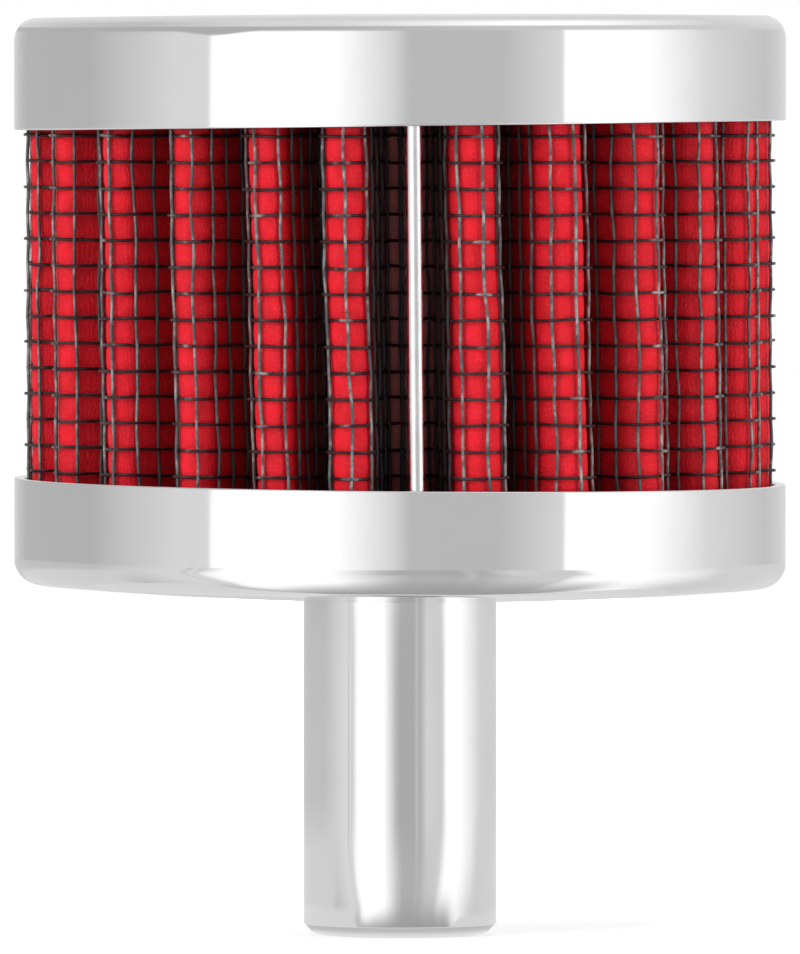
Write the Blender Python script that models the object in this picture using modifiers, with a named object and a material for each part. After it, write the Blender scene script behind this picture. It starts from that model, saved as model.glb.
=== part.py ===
"""Push-in crankcase breather filter.

Two drawn steel cups hold the ends of a pleated cotton gauze pack, which breathes
through its whole side wall. A straight vent tube, flared inside the lower cup,
plugs into a rubber grommet in a rocker cover.

Frame: metres, +Z up along the tube, origin at the centre of the tube's open end.
The front of the filter, with the seam of the pack, faces -Y.
"""

import math

import bmesh
import bpy
from mathutils import Vector

MM = 0.001

# Outside sizes
CAP_DIAMETER = 50.8 * MM
BODY_HEIGHT = 37.9 * MM
TUBE_DIAMETER = 12.7 * MM
TUBE_LENGTH = 22.7 * MM

# Drawn cups, the same stamping top and bottom
CAP_HEIGHT = 7.2 * MM
CAP_WALL = 0.6 * MM
CAP_CORNER = 1.4 * MM
CAP_RIM_ROUND = 0.15 * MM

# Vent tube, with a flange flared over inside the lower cup
TUBE_WALL = 1.2 * MM
TUBE_CHAMFER = 0.7 * MM
FLANGE_LIP = 3.1 * MM
FLANGE_THICKNESS = 1.0 * MM
FLANGE_BEND = 0.8 * MM

# Adhesive poured into each cup, which the pack stands in
POTTING_DEPTH = 3.0 * MM

# Gauze sheet and its folds, with room inside each bend for the screen that lines it
GAUZE_THICKNESS = 0.8 * MM
PLEAT_DEPTH = 9.6 * MM
CREST_ROUND = 0.3 * MM
VALLEY_ROUND = 0.25 * MM
SEAM_VALLEY_ROUND = 0.1 * MM
ROOT_CLEARANCE = 0.2 * MM
CREST_CLEARANCE = 0.5 * MM

# Seam, where the two ends of the sheet are pressed together under a clip
SEAM_ANGLE = math.radians(2.0)
SEAM_PRESSED = 0.25 * MM
SEAM_SLIT = 0.2 * MM
CLIP_WALL = 0.2 * MM
CLIP_LEG = 3.0 * MM

# Coated wire screens on both faces of the gauze, at a coarser mesh than the real one
WIRE = 0.28 * MM
OUTER_RINGS = 4
INNER_RINGS = 1

# Clearances
SEAT_GAP = 0.3 * MM
RADIAL_GAP = 0.2 * MM
SCREEN_GAP = 0.15 * MM
CLIP_GAP = 0.1 * MM

# How finely round forms are cut into facets
CAP_STEPS = 48
TUBE_STEPS = 32
OUTER_CORNER_STEPS = 4
INNER_CORNER_STEPS = 2
FLARE_STEPS = 3
CLIP_STEPS = 4
CREST_STEPS = 4
VALLEY_STEPS = 2
CREST_FACETS = 1
VALLEY_FACETS = 2

# Points of a mesh closer than this are one point
MERGE_DISTANCE = 0.01 * MM

# Levels
BASE_UNDERSIDE = TUBE_LENGTH
BASE_FLOOR = BASE_UNDERSIDE + CAP_WALL
BASE_RIM = BASE_UNDERSIDE + CAP_HEIGHT
TOP_FACE = BASE_UNDERSIDE + BODY_HEIGHT
TOP_CEILING = TOP_FACE - CAP_WALL
TOP_RIM = TOP_FACE - CAP_HEIGHT
PACK_BOTTOM = BASE_FLOOR + SEAT_GAP + POTTING_DEPTH + SEAT_GAP
PACK_TOP = TOP_CEILING - SEAT_GAP - POTTING_DEPTH - SEAT_GAP

# Radii
CAP_RADIUS = CAP_DIAMETER / 2
CAP_BORE = CAP_RADIUS - CAP_WALL
TUBE_RADIUS = TUBE_DIAMETER / 2
TUBE_BORE = TUBE_RADIUS - TUBE_WALL
FLANGE_RADIUS = TUBE_RADIUS + FLANGE_LIP
PACK_RADIUS = CAP_BORE - RADIAL_GAP

# The fold lines run along the middle of the sheet, and a bend is the radius of that line
HALF_SHEET = GAUZE_THICKNESS / 2
LINING = SCREEN_GAP + WIRE
SCREEN_OFFSET = HALF_SHEET + SCREEN_GAP
CREST_BEND = CREST_ROUND + LINING + HALF_SHEET
VALLEY_BEND = VALLEY_ROUND + LINING + HALF_SHEET
SEAM_VALLEY_BEND = SEAM_VALLEY_ROUND + LINING + HALF_SHEET
PLEAT_ROOT_SIDE = ROOT_CLEARANCE / 2 + LINING + HALF_SHEET
CREST_CENTRE = PACK_RADIUS - LINING - HALF_SHEET - CREST_BEND
VALLEY_CENTRE = PACK_RADIUS - LINING - PLEAT_DEPTH + HALF_SHEET + VALLEY_BEND

# The pressed sheet ends stand in the middle of the seam, with the clip over them
SEAM_SIDE = SEAM_SLIT / 2 + SEAM_PRESSED / 2
CLIP_SIDE = SEAM_SLIT / 2 + SEAM_PRESSED + CLIP_GAP + CLIP_WALL / 2
CLIP_NOSE = PACK_RADIUS - CLIP_SIDE - CLIP_WALL / 2
SEAM_HALF_SPAN = math.atan2(SEAM_SIDE + SEAM_VALLEY_BEND, VALLEY_CENTRE) + math.asin(
    (PLEAT_ROOT_SIDE + SEAM_VALLEY_BEND)
    / math.hypot(SEAM_SIDE + SEAM_VALLEY_BEND, VALLEY_CENTRE)
)

# As many pleats as fit beside each other, both at their roots and at their crests
CREST_SIDE = CREST_BEND + HALF_SHEET + LINING + CREST_CLEARANCE / 2
CLOSEST_PITCH = 2 * max(
    math.asin((PLEAT_ROOT_SIDE + VALLEY_BEND) / VALLEY_CENTRE),
    math.asin(CREST_SIDE / CREST_CENTRE),
)
PLEAT_COUNT = 1 + math.floor(2 * (math.pi - SEAM_HALF_SPAN) / CLOSEST_PITCH)
PLEAT_PITCH = 2 * (math.pi - SEAM_HALF_SPAN) / (PLEAT_COUNT - 1)


def clear_scene():
    for obj in list(bpy.data.objects):
        bpy.data.objects.remove(obj, do_unlink=True)


def new_material(name, colour, metallic, roughness):
    material = bpy.data.materials.new(name)
    material.use_nodes = True
    shader = material.node_tree.nodes["Principled BSDF"]
    shader.inputs["Base Color"].default_value = (*colour, 1.0)
    shader.inputs["Metallic"].default_value = metallic
    shader.inputs["Roughness"].default_value = roughness
    return material


def add_object(name, mesh, material, collection):
    obj = bpy.data.objects.new(name, mesh)
    mesh.materials.append(material)
    collection.objects.link(obj)
    return obj


def arc(centre_x, centre_z, radius, start_deg, end_deg, steps):
    """Points on an arc in the XZ plane, from the start angle to the end angle."""
    angles = [start_deg + (end_deg - start_deg) * i / steps for i in range(steps + 1)]
    return [
        (
            centre_x + radius * math.cos(math.radians(angle)),
            centre_z + radius * math.sin(math.radians(angle)),
        )
        for angle in angles
    ]


def turned(name, profile, steps, material, collection):
    """A profile of (radius, height) points turned about Z. It runs down the outer side."""
    closed = profile[0][0] > 0
    mesh = bpy.data.meshes.new(name)
    points = [(radius, 0.0, height) for radius, height in profile]
    edges = [(i, i + 1) for i in range(len(points) - 1)]
    if closed:
        edges.append((len(points) - 1, 0))
    mesh.from_pydata(points, edges, [])
    obj = add_object(name, mesh, material, collection)
    screw = obj.modifiers.new("Turn", "SCREW")
    screw.axis = "Z"
    screw.angle = 2 * math.pi
    screw.steps = steps
    screw.render_steps = steps
    screw.use_merge_vertices = True
    screw.merge_threshold = MERGE_DISTANCE
    screw.use_smooth_shade = True
    return obj


def cap_profile(hole_radius):
    """Section of a drawn cup with its flat face up, at height 0, and its rim below."""
    inner_corner = CAP_CORNER - CAP_WALL
    corner_x = CAP_RADIUS - CAP_CORNER
    rim_mid = CAP_RADIUS - CAP_WALL / 2
    outside = [(hole_radius, 0.0)]
    outside += arc(corner_x, -CAP_CORNER, CAP_CORNER, 90, 0, OUTER_CORNER_STEPS)
    rim = [
        (CAP_RADIUS, CAP_RIM_ROUND - CAP_HEIGHT),
        (rim_mid, -CAP_HEIGHT),
        (CAP_BORE, CAP_RIM_ROUND - CAP_HEIGHT),
    ]
    inside = arc(corner_x, -CAP_CORNER, inner_corner, 0, 90, INNER_CORNER_STEPS)
    inside.append((hole_radius, -CAP_WALL))
    return outside + rim + inside


def make_top_cap(material, collection):
    cap = turned("top_cap", cap_profile(0.0), CAP_STEPS, material, collection)
    cap.location.z = TOP_FACE
    return cap


def make_base_cap(material, collection):
    """The same cup turned over, with a hole for the tube."""
    hole = TUBE_RADIUS + RADIAL_GAP
    flipped = [(x, -z) for x, z in reversed(cap_profile(hole))]
    cap = turned("base_cap", flipped, CAP_STEPS, material, collection)
    cap.location.z = BASE_UNDERSIDE
    return cap


def make_vent_tube(material, collection):
    """Plain tube with a chamfered open end and a flange flared out over the cup's floor."""
    seat = BASE_FLOOR + SEAT_GAP
    flange_top = seat + FLANGE_THICKNESS
    bend_x = TUBE_BORE + FLANGE_BEND
    flare = arc(bend_x, flange_top - FLANGE_BEND, FLANGE_BEND, 180, 90, FLARE_STEPS)
    profile = [(FLANGE_RADIUS, flange_top)]
    profile += [
        (FLANGE_RADIUS, seat),
        (TUBE_RADIUS, seat),
        (TUBE_RADIUS, TUBE_CHAMFER),
        (TUBE_RADIUS - TUBE_CHAMFER, 0.0),
        (TUBE_BORE, 0.0),
    ]
    profile += flare
    return turned("vent_tube", profile, TUBE_STEPS, material, collection)


def potting_profile(hole_radius):
    """Section of the set adhesive in a cup that stands open side up, from its floor at height 0.

    Its lower corner is cut off, clear of the round inside corner of the cup.
    """
    outer = CAP_BORE - RADIAL_GAP
    corner = CAP_CORNER - CAP_WALL
    return [
        (hole_radius, POTTING_DEPTH),
        (outer, POTTING_DEPTH),
        (outer, corner),
        (outer - corner, 0.0),
        (hole_radius, 0.0),
    ]


def make_base_potting(material, collection):
    """Ring of adhesive round the tube's flange."""
    profile = potting_profile(FLANGE_RADIUS + SEAT_GAP)
    potting = turned("base_potting", profile, TUBE_STEPS, material, collection)
    potting.location.z = BASE_FLOOR + SEAT_GAP
    return potting


def make_top_potting(material, collection):
    """The same adhesive in the upper cup, turned over and without a hole."""
    flipped = [(x, -z) for x, z in reversed(potting_profile(0.0))]
    potting = turned("top_potting", flipped, TUBE_STEPS, material, collection)
    potting.location.z = TOP_CEILING - SEAT_GAP
    return potting


def outward(angle):
    """Unit vector from the axis at an angle from the front, positive towards +X."""
    return Vector((math.sin(angle), -math.cos(angle)))


def sideways(angle):
    """Unit vector a quarter turn on from outward, towards a larger angle."""
    return Vector((math.cos(angle), math.sin(angle)))


class Fold:
    """A round bend of the sheet about one centre: a crest turns outward, a valley inward."""

    def __init__(self, centre, bend, is_crest):
        self.centre = centre
        self.bend = bend
        self.is_crest = is_crest

    def normal_to(self, other):
        """Sheet normal, on its outer face, along the flat that joins this fold to another."""
        along = other.centre - self.centre
        lean = math.acos((self.bend + other.bend) / along.length)
        direction = along.normalized()
        away = direction if self.is_crest else -direction
        side = 1 if direction.cross(self.centre) * (1 if self.is_crest else -1) > 0 else -1
        return turned_by(away, side * lean)


def turned_by(vector, angle):
    """A flat vector turned anticlockwise by an angle."""
    cos, sin = math.cos(angle), math.sin(angle)
    return Vector((vector.x * cos - vector.y * sin, vector.x * sin + vector.y * cos))


def pleat_folds():
    """Every fold of the sheet in order round the pack, starting after the seam."""
    folds = [seam_valley(1)]
    for i in range(PLEAT_COUNT):
        angle = SEAM_ANGLE + SEAM_HALF_SPAN + i * PLEAT_PITCH
        folds.append(Fold(outward(angle) * CREST_CENTRE, CREST_BEND, True))
        if i < PLEAT_COUNT - 1:
            between = angle + PLEAT_PITCH / 2
            folds.append(Fold(outward(between) * VALLEY_CENTRE, VALLEY_BEND, False))
    folds.append(seam_valley(-1))
    return folds


def seam_valley(side):
    """The valley between the pressed sheet ends and the next pleat, on one side of the seam."""
    aside = SEAM_SIDE + SEAM_VALLEY_BEND
    centre = outward(SEAM_ANGLE) * VALLEY_CENTRE + sideways(SEAM_ANGLE) * aside * side
    return Fold(centre, SEAM_VALLEY_BEND, False)


def fold_normals(folds):
    """Outer-face normals where the sheet enters and leaves each fold."""
    seam_entry = sideways(SEAM_ANGLE)
    flats = [first.normal_to(second) for first, second in zip(folds, folds[1:])]
    return list(zip([seam_entry] + flats, flats + [-seam_entry]))


def swept(entry, leave, clockwise):
    """Angle through which the normal turns across a fold, with its sign."""
    turn = math.atan2(entry.cross(leave), entry.dot(leave))
    if clockwise and turn > 0:
        turn -= 2 * math.pi
    if not clockwise and turn < 0:
        turn += 2 * math.pi
    return turn


def fold_points(fold, entry, leave, offset, facets):
    """Points of a line parallel to the sheet as it rounds a fold.

    With facets 0 it is a chord between the ends of the bend, and otherwise that
    many facets stand round the bend and touch it, so nothing inside is cut.
    """
    sign = 1 if fold.is_crest else -1
    radius = fold.bend + sign * offset
    if facets == 0:
        return [fold.centre + n * sign * radius for n in (entry, leave)]
    turn = swept(entry, leave, not fold.is_crest)
    step = turn / (facets + 1)
    corner = radius / math.cos(step / 2)
    return [
        fold.centre + turned_by(entry, step * (i + 0.5)) * sign * corner
        for i in range(facets + 1)
    ]


def gauze_line():
    """(point, share of full thickness) along the middle of the gauze sheet."""
    folds = pleat_folds()
    pressed = SEAM_PRESSED / GAUZE_THICKNESS
    line = []
    for i, (fold, (entry, leave)) in enumerate(zip(folds, fold_normals(folds))):
        steps = CREST_STEPS if fold.is_crest else VALLEY_STEPS
        sign = 1 if fold.is_crest else -1
        turn = swept(entry, leave, not fold.is_crest)
        for j in range(steps + 1):
            share = 1.0
            if i == 0:
                share = pressed + (1 - pressed) * j / steps
            if i == len(folds) - 1:
                share = 1 - (1 - pressed) * j / steps
            normal = turned_by(entry, turn * j / steps)
            line.append((fold.centre + normal * sign * fold.bend, share))
    tip = outward(SEAM_ANGLE) * CLIP_NOSE
    reach = sideways(SEAM_ANGLE) * SEAM_SIDE
    return [(tip + reach, pressed)] + line + [(tip - reach, pressed)]


def bent_grid(name, line, levels, kept, closed):
    """A sheet that stands up along a flat line, with a row of faces between each two levels.

    kept(column, row) says which faces stay. The faces' normals point away from the
    right-hand side of the line.
    """
    bm = bmesh.new()
    columns, rows = len(line) - 1, len(levels) - 1
    bmesh.ops.create_grid(bm, x_segments=columns, y_segments=rows, size=0.5)
    for vert in bm.verts:
        column = round((vert.co.x + 0.5) * columns)
        row = round((vert.co.y + 0.5) * rows)
        vert.co = (line[column].x, line[column].y, levels[row])
    bm.faces.ensure_lookup_table()
    gone = [f for i, f in enumerate(bm.faces) if not kept(i % columns, i // columns)]
    bmesh.ops.delete(bm, geom=gone, context="FACES")
    if closed:
        bmesh.ops.remove_doubles(bm, verts=bm.verts, dist=MERGE_DISTANCE)
    mesh = bpy.data.meshes.new(name)
    bm.to_mesh(mesh)
    bm.free()
    return mesh


def thicken(obj, thickness, offset):
    solidify = obj.modifiers.new("Thickness", "SOLIDIFY")
    solidify.thickness = thickness
    solidify.offset = offset
    solidify.use_even_offset = True
    solidify.use_quality_normals = True
    return solidify


def make_gauze(material, collection):
    """The folded cotton sheet, one piece from one side of the seam round to the other."""
    line = gauze_line()
    points = [point for point, _ in line]
    mesh = bent_grid("gauze_pleats", points, [PACK_BOTTOM, PACK_TOP], always, False)
    obj = add_object("gauze_pleats", mesh, material, collection)
    group = obj.vertex_groups.new(name="Share of full thickness")
    columns = len(points)
    for vert in mesh.vertices:
        group.add([vert.index], line[vert.index % columns][1], "REPLACE")
    solidify = thicken(obj, GAUZE_THICKNESS, 0.0)
    solidify.vertex_group = group.name
    solidify.thickness_vertex_group = 0.0
    return obj


def always(_column, _row):
    return True


def ring_levels(rings, low, high):
    """Edges of evenly spaced wires between two heights, with the wires' ends below and above."""
    pitch = (high - low) / rings
    middles = [low + pitch * (i + 0.5) for i in range(rings)]
    edges = [middle + side * WIRE / 2 for middle in middles for side in (-1, 1)]
    return [PACK_BOTTOM] + edges + [PACK_TOP]


def lattice(line, uprights, levels, closed, name):
    """Crossing wires as one sheet: odd rows are rings, and the listed columns are uprights."""

    def kept(column, row):
        return row % 2 == 1 or column in uprights

    return bent_grid(name, line, levels, kept, closed)


def add_upright(points):
    """Mark off one wire's width before the middle point of a bend, and say where it starts."""
    middle = len(points) // 2
    along = (points[middle - 1] - points[middle]).normalized()
    points.insert(middle, points[middle] + along * WIRE)
    return middle


def make_outer_screen(material, collection):
    """Wire screen on the outer face of the gauze, from one side of the seam to the other."""
    folds = pleat_folds()
    seam_foot = outward(SEAM_ANGLE) * (CLIP_NOSE - CLIP_LEG - RADIAL_GAP)
    reach = sideways(SEAM_ANGLE) * (SEAM_SLIT / 2 + SEAM_PRESSED + SCREEN_GAP)
    down = outward(SEAM_ANGLE) * WIRE
    line = [seam_foot + reach, seam_foot + reach - down]
    uprights = {0}
    for i, (fold, (entry, leave)) in enumerate(zip(folds, fold_normals(folds))):
        facets = CREST_FACETS if fold.is_crest else 0
        points = fold_points(fold, entry, leave, SCREEN_OFFSET, facets)
        if i == 0:
            points[0] = seam_corner(fold, reach)
        if i == len(folds) - 1:
            points[1] = seam_corner(fold, -reach)
        if fold.is_crest:
            uprights.add(len(line) + add_upright(points))
        line += points
    line += [seam_foot - reach - down, seam_foot - reach]
    uprights.add(len(line) - 2)
    levels = ring_levels(OUTER_RINGS, BASE_RIM, TOP_RIM)
    mesh = lattice(line, uprights, levels, False, "outer_screen")
    obj = add_object("outer_screen", mesh, material, collection)
    thicken(obj, WIRE, 1.0)
    return obj


def seam_corner(fold, reach):
    """Where the screen leaves the pressed sheet ends, level with the centre of the valley."""
    return outward(SEAM_ANGLE) * fold.centre.dot(outward(SEAM_ANGLE)) + reach


def make_inner_screen(material, collection):
    """Wire screen on the inner face of the gauze, a closed loop that passes behind the seam."""
    folds = pleat_folds()
    line = []
    uprights = set()
    for i, (fold, (entry, leave)) in enumerate(zip(folds, fold_normals(folds))):
        facets = 0 if fold.is_crest else VALLEY_FACETS
        points = fold_points(fold, entry, leave, -SCREEN_OFFSET, facets)
        if i == 0:
            points = points[1:]
        elif i == len(folds) - 1:
            points = points[:-1]
        elif not fold.is_crest:
            uprights.add(len(line) + add_upright(points))
        line += points
    line.append(line[0])
    levels = ring_levels(INNER_RINGS, PACK_BOTTOM, PACK_TOP)
    mesh = lattice(line, uprights, levels, True, "inner_screen")
    obj = add_object("inner_screen", mesh, material, collection)
    thicken(obj, WIRE, -1.0)
    return obj


def make_seam_clip(material, collection):
    """Narrow strip folded to a U over the two ends of the sheet, with its round nose outward."""
    nose = outward(SEAM_ANGLE) * CLIP_NOSE
    side = sideways(SEAM_ANGLE) * CLIP_SIDE
    leg = outward(SEAM_ANGLE) * CLIP_LEG
    line = [nose - side - leg]
    for i in range(CLIP_STEPS + 1):
        angle = math.pi * i / CLIP_STEPS
        rise = outward(SEAM_ANGLE) * CLIP_SIDE * math.sin(angle)
        line.append(nose - side * math.cos(angle) + rise)
    line.append(nose + side - leg)
    mesh = bent_grid("seam_clip", line, [PACK_BOTTOM, PACK_TOP], always, False)
    obj = add_object("seam_clip", mesh, material, collection)
    thicken(obj, CLIP_WALL, 0.0)
    return obj


def main():
    clear_scene()
    collection = bpy.data.collections.new("crankcase_breather_filter")
    bpy.context.scene.collection.children.link(collection)
    chrome = new_material("Chrome plate", (0.76, 0.77, 0.79), 1.0, 0.08)
    gauze = new_material("Oiled cotton gauze", (0.72, 0.02, 0.03), 0.0, 0.75)
    coated_wire = new_material("Coated wire", (0.05, 0.055, 0.06), 0.0, 0.4)
    bright_strip = new_material("Bright strip", (0.85, 0.85, 0.86), 1.0, 0.15)
    adhesive = new_material("Set adhesive", (0.03, 0.03, 0.03), 0.0, 0.6)
    make_top_cap(chrome, collection)
    make_base_cap(chrome, collection)
    make_vent_tube(chrome, collection)
    make_top_potting(adhesive, collection)
    make_base_potting(adhesive, collection)
    make_gauze(gauze, collection)
    make_outer_screen(coated_wire, collection)
    make_inner_screen(coated_wire, collection)
    make_seam_clip(bright_strip, collection)


main()
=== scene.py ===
"""Crankcase breather filter: the finishes of its pieces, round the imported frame.

The file is laid out as an add-on and run as a script. The chromed cups and the vent
tube are turned again with round corners. The red cloth is pleated again with the
squares of the screen pressed into it, and both screens are woven wire by wire.
Lengths are metres. Angles go round from the front, -Y, towards +X.
"""

import math
import random

import bpy
import numpy as np
from bpy.props import FloatProperty, FloatVectorProperty, IntProperty, PointerProperty
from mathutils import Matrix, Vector


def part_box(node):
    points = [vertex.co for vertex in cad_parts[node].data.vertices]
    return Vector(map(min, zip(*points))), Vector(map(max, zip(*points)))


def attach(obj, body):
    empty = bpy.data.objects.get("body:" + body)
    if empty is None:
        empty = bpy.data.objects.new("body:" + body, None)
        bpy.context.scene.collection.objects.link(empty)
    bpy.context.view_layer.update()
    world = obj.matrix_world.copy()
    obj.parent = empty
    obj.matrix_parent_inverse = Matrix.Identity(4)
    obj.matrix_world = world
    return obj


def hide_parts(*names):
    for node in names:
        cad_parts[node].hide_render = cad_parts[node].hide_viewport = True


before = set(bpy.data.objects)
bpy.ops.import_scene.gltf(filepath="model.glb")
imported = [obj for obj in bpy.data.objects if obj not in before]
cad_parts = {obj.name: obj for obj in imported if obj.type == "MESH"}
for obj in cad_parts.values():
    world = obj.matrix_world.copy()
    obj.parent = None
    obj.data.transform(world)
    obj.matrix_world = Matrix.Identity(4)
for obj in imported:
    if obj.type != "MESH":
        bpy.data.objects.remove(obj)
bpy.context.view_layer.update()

bl_info = {
    "name": "Crankcase breather filter",
    "version": (1, 0, 0),
    "blender": (4, 5, 0),
    "location": "3D View > Sidebar > Breather",
    "description": "Finishes a round breather filter: chromed cups, pleated cloth, wire screens",
    "category": "Object",
}

MM = 0.001
BODY = "root"

CUP_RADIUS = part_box("top_cap")[1].x
CUP_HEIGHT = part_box("top_cap")[1].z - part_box("top_cap")[0].z
TOP_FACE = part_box("top_cap")[1].z
BASE_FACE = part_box("base_cap")[0].z
TUBE_RADIUS = 6.35 * MM
TUBE_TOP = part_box("vent_tube")[1].z
FLANGE_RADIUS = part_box("vent_tube")[1].x
PACK_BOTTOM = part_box("gauze_pleats")[0].z
PACK_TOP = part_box("gauze_pleats")[1].z
PACK_MIDDLE = (PACK_BOTTOM + PACK_TOP) / 2

PLEAT_COUNT = 24
SEAM_ANGLE = math.radians(2.3)
SEAM_HALF_SPAN = math.radians(10.754)
PLEAT_PITCH = 2 * (math.pi - SEAM_HALF_SPAN) / (PLEAT_COUNT - 1)

# Seen pleats, counted on from the seam: (turn in degrees from its even place, bend in mm)
RIGHT_PLEATS = ((-0.9, 1.06), (-0.9, 1.22), (0.0, 1.16), (-0.7, 0.88), (-0.5, 0.9), (-1.6, 1.0))
LEFT_PLEATS = ((0.1, 0.76), (2.3, 0.72), (3.0, 0.72), (1.9, 0.74), (1.0, 0.79), (-1.0, 0.62))
UNSEEN_PLEAT_SEED = 7
STRAY_SEED = 11

# The studio that the chrome mirrors, by angle round from the front: (degrees, brightness) only where a
# panel, a wall, a gap or a thin line begins or ends. Between two of them the light changes evenly.
WHITE_PANEL = 1.35
CUP_VIEW = (
    (-180, 0.80),  # backdrop
    (-150, 0.55),  # dim left wall
    (-105, 0.55),
    (-70, 0.85),  # the wall beside the left panel
    (-58.5, 0.85),
    (-57.5, WHITE_PANEL),  # left panel, which fades to the front
    (-22, WHITE_PANEL),
    (-3, 0.85),
    (3, 0.60),  # dark gap at the front
    (30, 0.60),
    (49.5, 0.85),
    (50.5, WHITE_PANEL),  # right panel, which fades to the back
    (77, WHITE_PANEL),
    (105, 0.85),
    (140, 0.65),
    (180, 0.80),
)
# The same above the line where the walls meet the ceiling
CEILING_VIEW = (
    (-180, 0.80),
    (-105, 0.65),  # dim left corner
    (-85, 0.65),
    (-40, 0.85),
    (-20, 0.85),
    (35, 1.30),  # over the right panel
    (62, 1.25),
    (110, 0.80),
    (180, 0.80),
)
# The same for the table, which the tube mirrors
TUBE_VIEW = (
    (-180, 0.65),  # the table's far side
    (-100, 0.65),
    (-70, 0.85),
    (-64.5, 0.85),
    (-63.5, 0.60),  # thin dark line
    (-62.5, 0.85),
    (-59.5, 0.85),
    (-58.5, 0.60),  # thin dark line
    (-57.5, 0.85),
    (-50, WHITE_PANEL),  # left panel
    (-20, 1.30),
    (-5, 0.60),
    (0, 0.50),  # dark gap at the front
    (17, 0.50),
    (20, 0.65),  # thin pale line
    (23, 0.50),
    (32, 0.80),  # the table beside the right panel
    (45, 0.75),
    (51, 0.75),
    (58, WHITE_PANEL),  # right panel
    (75, 1.30),
    (110, 0.80),
    (180, 0.70),
)

# Camera, and the point of the axis that it looks at
CAMERA_PLACE = (0.0, -1.016, 57.27 * MM)
CAMERA_AIM = (0.0, 0.0, 30.106 * MM)
CAMERA_LENS = 582.2

# Distances from the axis between which a wire comes out of a fold, and between which it stands proud
OUT_OF_FOLDS = (21.8 * MM, 24.2 * MM)
STANDS_PROUD = (24.62 * MM, 24.78 * MM)


def length(name, description, default):
    return FloatProperty(
        name=name,
        description=description,
        default=default,
        min=0.0,
        unit="LENGTH",
        subtype="DISTANCE",
        precision=5,
    )


def share(name, description, default):
    return FloatProperty(name=name, description=description, default=default)


def turn(name, description, degrees):
    return FloatProperty(
        name=name,
        description=description,
        default=math.radians(degrees),
        unit="ROTATION",
        subtype="ANGLE",
    )


def power(name, description, default):
    return FloatProperty(name=name, description=description, default=default, unit="POWER")


def count(name, description, default):
    return IntProperty(name=name, description=description, default=default, min=1)


def colour(name, description, default):
    return FloatVectorProperty(
        name=name,
        description=description,
        default=default,
        min=0.0,
        max=1.0,
        size=3,
        subtype="COLOR",
    )


class CupSizes(bpy.types.PropertyGroup):
    """Sizes of the two drawn cups."""

    wall: length("Wall", "Thickness of the sheet steel", 0.6 * MM)
    corner: length("Corner", "Radius between face and wall", 1.45 * MM)
    rim_round: length("Rim round", "Radius of the rim's two edges", 0.15 * MM)
    hole_gap: length("Hole gap", "Room between tube and base cup", 0.2 * MM)
    top_tilt: share("Top tilt", "Rise of the top cup's rim for each metre to the right", 0.0126)
    base_tilt: share("Base tilt", "Rise of the base cup's rim for each metre to the right", -0.0092)
    top_drop: length("Top drop", "How much lower the top cup's rim is than drawn", 0.12 * MM)
    base_drop: length("Base drop", "How much lower the base cup's rim is than drawn", 0.01 * MM)
    top_dome: length("Top dome", "Rise of the top cup's face from edge to middle", 0.2 * MM)
    top_peak: length("Top peak", "Place of that dome's highest point, to the right", 5.8 * MM)
    base_dome: length("Base dome", "Bulge of the base cup's face from edge to middle", 1.13 * MM)
    base_peak: length("Base peak", "Place of that bulge's lowest point, to the right", 1.6 * MM)
    base_sink: length("Base sink", "How much lower that lowest point is than drawn", 0.72 * MM)
    steps: count("Steps", "Facets round the cup", 256)


class TubeSizes(bpy.types.PropertyGroup):
    """Sizes of the vent tube."""

    wall: length("Wall", "Thickness of the tube", 1.2 * MM)
    chamfer: length("Chamfer", "Bevel at the open end", 0.7 * MM)
    edge_round: length("Edge round", "Radius of the turned edges", 0.12 * MM)
    flange: length("Flange", "Thickness of the flange inside the base cup", 1.6 * MM)
    flare: length("Flare", "Radius of the bore's mouth", 0.8 * MM)
    steps: count("Steps", "Facets round the tube", 128)


class PleatSizes(bpy.types.PropertyGroup):
    """Sizes of the pleated cloth."""

    sheet: length("Sheet", "Thickness of the layered cloth", 0.8 * MM)
    pressed: length("Pressed", "Thickness of its ends at the seam", 0.2 * MM)
    radius: length("Radius", "Outside of the pack", 24.72 * MM)
    depth: length("Depth", "Depth of a pleat", 9.6 * MM)
    valley_bend: length("Valley bend", "Radius of a valley", 1.08 * MM)
    seam_valley_bend: length("Seam valley bend", "Radius of the valleys at the seam", 0.93 * MM)
    seam_slit: length("Seam slit", "Gap between the two pressed ends", 0.14 * MM)
    puff: length("Puff", "Height of the cloth between the wires", 0.10 * MM)
    lean: turn("Lean", "Turn of the pleats from top to bottom", 1.5)
    seam_lean: turn("Seam lean", "Turn of the seam from top to bottom", 0.37)


class ScreenSizes(bpy.types.PropertyGroup):
    """Sizes of the two wire screens and of the clip on the seam."""

    wire: length("Wire", "Diameter of the coated wire", 0.22 * MM)
    gap: length("Gap", "Room between cloth and screen", 0.18 * MM)
    mesh: length("Mesh", "Distance between wires", 1.693 * MM)
    ring_crimp: length("Ring crimp", "How far a ring waves out and in", 0.18 * MM)
    upright_crimp: length("Upright crimp", "How far an upright waves out and in", 0.03 * MM)
    stray: length("Stray", "How far a wire strays along the cloth", 0.09 * MM)
    first_ring: length("First ring", "Height of the lowest ring in sight", 30.63 * MM)
    first_upright: length("First upright", "Distance of the first upright from the seam", 0.6 * MM)
    clip_wall: length("Clip wall", "Thickness of the clip's strip", 0.18 * MM)
    clip_gap: length("Clip gap", "Room between clip and cloth", 0.07 * MM)
    clip_leg: length("Clip leg", "Depth of the clip's legs", 3.0 * MM)


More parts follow.
